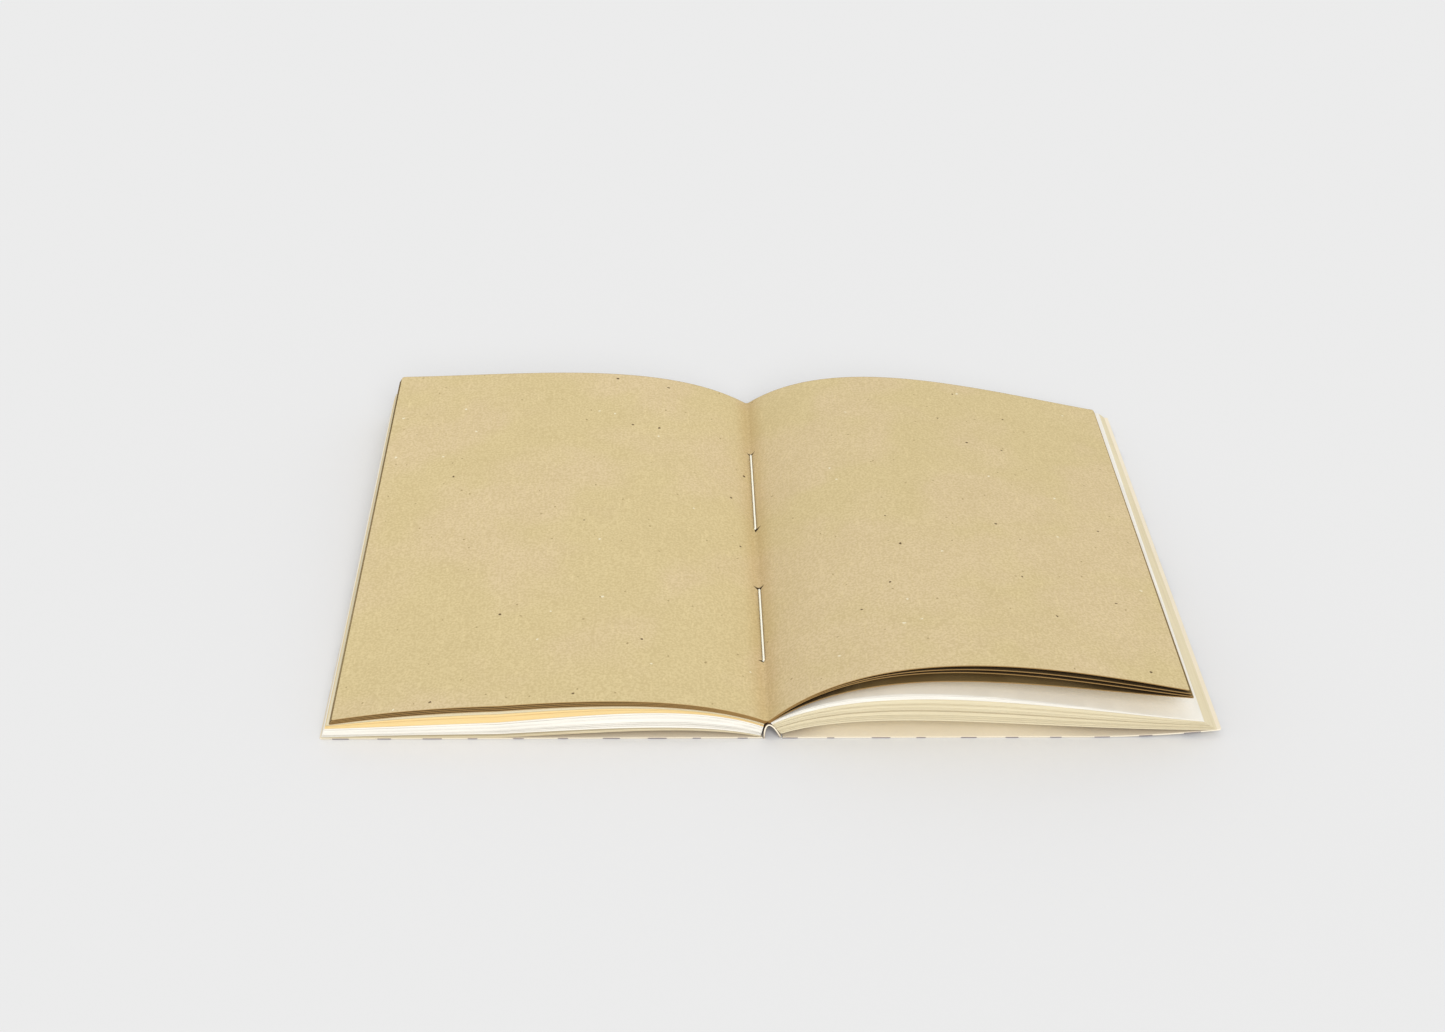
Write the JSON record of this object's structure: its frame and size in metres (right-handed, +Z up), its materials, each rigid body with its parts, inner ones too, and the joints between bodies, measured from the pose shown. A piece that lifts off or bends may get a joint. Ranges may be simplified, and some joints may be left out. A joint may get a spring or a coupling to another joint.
{
  "type": "opened notebook",
  "caption": "Softcover notebook of sewn sections in kraft, cream, yellow and white paper, lying open at its kraft section; both halves swing up at the spine.",
  "frame": {"origin": "middle of the footprint on the table, under the spine; the covers lie on z = 0", "axes": "+X across the open book to its right-hand pages, +Y from the tail edge to the head edge, +Z up"},
  "size_m": [0.3018, 0.21, 0.0306],
  "materials": {
    "cover_card": "matt uncoated card, cream inside",
    "kraft_paper": "matt kraft paper with fine fibres and flecks",
    "cream_paper": "matt cream paper",
    "yellow_paper": "matt yellow paper",
    "white_paper": "matt white paper",
    "linen_thread": "waxed linen sewing thread"
  },
  "bodies": {
    "spine": {"spine_strip": "cover_card", "kraft_fold": "kraft_paper", "sewing_thread": "linen_thread"},
    "front_half": {"front_cover": "cover_card", "last_leaf_left": "cream_paper", "white_section_left_lower": "white_paper", "white_section_left_upper": "white_paper", "yellow_section_left": "yellow_paper", "cream_section_left": "cream_paper", "kraft_leaves_left": "kraft_paper"},
    "back_half": {"back_cover": "cover_card", "last_leaf_right": "cream_paper", "cream_section_right_1": "cream_paper", "cream_section_right_2": "cream_paper", "cream_section_right_3": "cream_paper", "cream_section_right_4": "cream_paper", "white_section_right": "white_paper", "kraft_leaves_right": "kraft_paper"}
  },
  "joints": [
    {"name": "front_cover_hinge", "type": "hinge", "parent": "spine", "child": "front_half", "pos_m": [-0.00305, 0, 0.0078], "axis": [0, 1, 0], "range_deg": [0, 55]},
    {"name": "back_cover_hinge", "type": "hinge", "parent": "spine", "child": "back_half", "pos_m": [-0.00065, 0, 0.00815], "axis": [0, -1, 0], "range_deg": [0, 55]}
  ]
}
